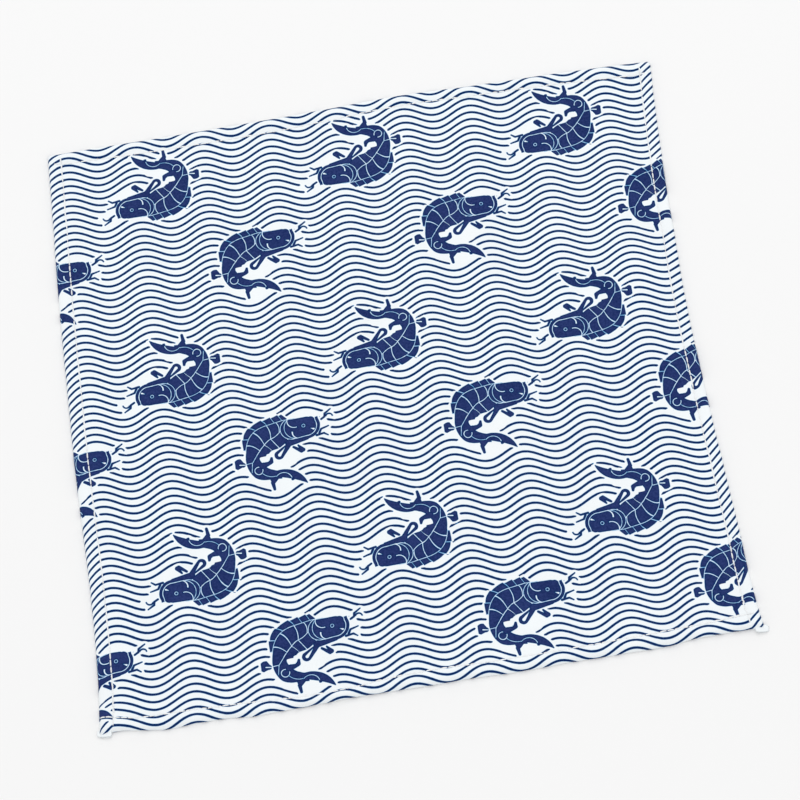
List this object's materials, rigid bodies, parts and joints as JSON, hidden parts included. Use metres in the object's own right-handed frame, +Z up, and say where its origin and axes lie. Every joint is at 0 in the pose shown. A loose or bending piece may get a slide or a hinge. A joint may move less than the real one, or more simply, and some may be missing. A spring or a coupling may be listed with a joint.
{
  "type": "towel handkerchief",
  "caption": "Small square printed cotton towel handkerchief with a double-folded, machine-sewn hem on every side, lying flat and face up.",
  "frame": {"origin": "middle of the cloth's underside, on the surface it lies on", "axes": "+Z up through the thickness, +X along the near side to the right, +Y from the near side to the far one"},
  "size_m": [0.2516, 0.2544, 0.0026],
  "materials": {
    "printed_cotton": "matt cotton towelling, white with a navy print of wave lines and fish on the face"
  },
  "bodies": {
    "root": {"handkerchief": "printed_cotton"}
  },
  "joints": []
}
